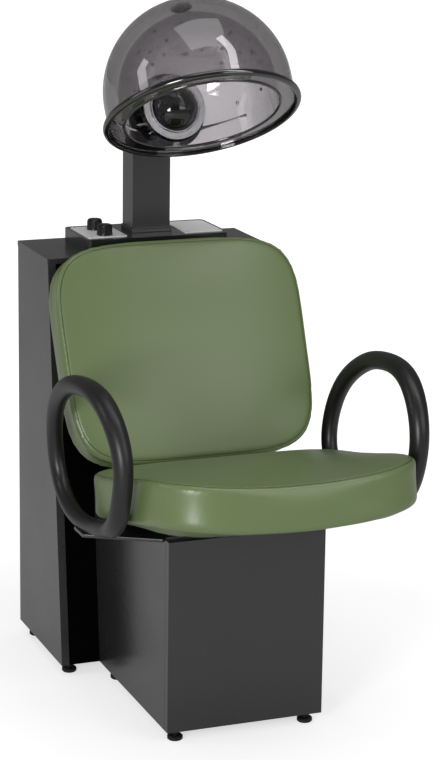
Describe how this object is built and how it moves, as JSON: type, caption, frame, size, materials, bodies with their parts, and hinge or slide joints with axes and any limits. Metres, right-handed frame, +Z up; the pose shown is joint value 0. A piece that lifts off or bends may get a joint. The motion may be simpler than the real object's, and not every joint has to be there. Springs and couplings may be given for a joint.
{
  "type": "hooded dryer chair",
  "caption": "Salon dryer chair: a slanted cabinet with a tilting smoked hood on a column, a padded seat and back on a box pedestal, and loop arms.",
  "frame": {"origin": "at floor level, under the middle of the whole chair's footprint box", "axes": "+Z up, the chair faces -Y, +X to the sitter's left"},
  "size_m": [0.6308, 0.944, 1.3359],
  "materials": {
    "laminate": "satin",
    "black_laminate": "satin",
    "foot_plastic": "matte",
    "switch_plastic": "matte",
    "zinc_steel": "satin",
    "console_plastic": "satin",
    "brushed_plate": "satin",
    "knob_plastic": "satin",
    "black_metal": "satin",
    "cast_black": "satin",
    "motor_steel": "satin",
    "fan_aluminium": "satin",
    "heater_steel": "satin",
    "smoked_plastic": "gloss",
    "rim_rubber": "satin",
    "clear_plastic": "gloss",
    "chrome": "polished",
    "ball_plastic": "gloss",
    "black_wood": "satin",
    "green_vinyl": "satin",
    "arm_urethane": "satin"
  },
  "bodies": {
    "chair": {"cabinet_side_left": "laminate", "cabinet_side_right": "laminate", "cabinet_top": "laminate", "cabinet_bottom": "laminate", "cabinet_back": "laminate", "pedestal_front": "laminate", "pedestal_side_left": "laminate", "pedestal_side_right": "laminate", "pedestal_top": "laminate", "pedestal_bottom": "laminate", "cabinet_front": "black_laminate", "power_inlet": "switch_plastic", "foot_inserts": "zinc_steel", "console_tray": "console_plastic", "control_plate": "brushed_plate", "label_plate": "brushed_plate", "plate_screws": "zinc_steel", "timer_body": "switch_plastic", "heat_switch_body": "switch_plastic", "column_tube": "black_metal", "column_collar": "console_plastic", "hood_fork": "black_metal", "pivot_pin": "zinc_steel", "arm_plate": "black_metal", "seat_rails": "black_wood", "seat_board": "black_wood", "seat_cushion": "green_vinyl", "back_brackets": "black_wood", "back_board": "black_wood", "back_cushion": "green_vinyl", "arm_left": "arm_urethane", "arm_right": "arm_urethane", "arm_bolts": "black_metal", "board_bolts": "zinc_steel"},
    "hood": {"blower_housing": "cast_black", "blower_motor": "motor_steel", "heater_ring": "heater_steel", "outer_shell": "smoked_plastic", "vent_cap": "knob_plastic", "hood_rim": "rim_rubber", "hood_flange": "smoked_plastic", "inner_liner": "clear_plastic", "liner_lip": "rim_rubber", "cover_ring": "chrome", "blower_cover": "ball_plastic", "ring_screws": "chrome"},
    "fan": {"fan_shaft": "zinc_steel", "fan_wheel": "fan_aluminium"},
    "timer": {"timer_shaft": "zinc_steel", "timer_knob": "knob_plastic"},
    "heat_switch": {"heat_shaft": "zinc_steel", "heat_knob": "knob_plastic"},
    "cabinet_foot_front_left_body": {"cabinet_foot_front_left": "foot_plastic"},
    "cabinet_foot_front_right_body": {"cabinet_foot_front_right": "foot_plastic"},
    "cabinet_foot_rear_left_body": {"cabinet_foot_rear_left": "foot_plastic"},
    "cabinet_foot_rear_right_body": {"cabinet_foot_rear_right": "foot_plastic"},
    "pedestal_foot_front_left_body": {"pedestal_foot_front_left": "foot_plastic"},
    "pedestal_foot_front_right_body": {"pedestal_foot_front_right": "foot_plastic"},
    "pedestal_foot_rear_left_body": {"pedestal_foot_rear_left": "foot_plastic"},
    "pedestal_foot_rear_right_body": {"pedestal_foot_rear_right": "foot_plastic"}
  },
  "joints": [
    {"name": "hood_tilt", "type": "hinge", "parent": "chair", "child": "hood", "pos_m": [0, 0.362, 1.105], "axis": [-1, 0, 0], "range_deg": [-20, 25]},
    {"name": "fan_spin", "type": "hinge", "parent": "hood", "child": "fan", "pos_m": [0, 0.083, 1.16], "axis": [0, 0.9397, -0.342], "continuous": true},
    {"name": "timer_turn", "type": "hinge", "parent": "chair", "child": "timer", "pos_m": [-0.1, 0.385, 0.86], "axis": [0, 0, -1], "range_deg": [0, 300]},
    {"name": "heat_turn", "type": "hinge", "parent": "chair", "child": "heat_switch", "pos_m": [-0.1, 0.323, 0.86], "axis": [0, 0, -1], "range_deg": [0, 270]},
    {"name": "cabinet_foot_front_left_turn", "type": "hinge", "parent": "chair", "child": "cabinet_foot_front_left_body", "pos_m": [-0.2085, 0.216, 0.02], "axis": [0, 0, 1], "continuous": true},
    {"name": "cabinet_foot_front_right_turn", "type": "hinge", "parent": "chair", "child": "cabinet_foot_front_right_body", "pos_m": [0.2085, 0.216, 0.02], "axis": [0, 0, 1], "continuous": true},
    {"name": "cabinet_foot_rear_left_turn", "type": "hinge", "parent": "chair", "child": "cabinet_foot_rear_left_body", "pos_m": [-0.2085, 0.436, 0.02], "axis": [0, 0, 1], "continuous": true},
    {"name": "cabinet_foot_rear_right_turn", "type": "hinge", "parent": "chair", "child": "cabinet_foot_rear_right_body", "pos_m": [0.2085, 0.436, 0.02], "axis": [0, 0, 1], "continuous": true},
    {"name": "pedestal_foot_front_left_turn", "type": "hinge", "parent": "chair", "child": "pedestal_foot_front_left_body", "pos_m": [-0.13, -0.175, 0.02], "axis": [0, 0, 1], "continuous": true},
    {"name": "pedestal_foot_front_right_turn", "type": "hinge", "parent": "chair", "child": "pedestal_foot_front_right_body", "pos_m": [0.13, -0.175, 0.02], "axis": [0, 0, 1], "continuous": true},
    {"name": "pedestal_foot_rear_left_turn", "type": "hinge", "parent": "chair", "child": "pedestal_foot_rear_left_body", "pos_m": [-0.13, 0.148, 0.02], "axis": [0, 0, 1], "continuous": true},
    {"name": "pedestal_foot_rear_right_turn", "type": "hinge", "parent": "chair", "child": "pedestal_foot_rear_right_body", "pos_m": [0.13, 0.148, 0.02], "axis": [0, 0, 1], "continuous": true}
  ]
}
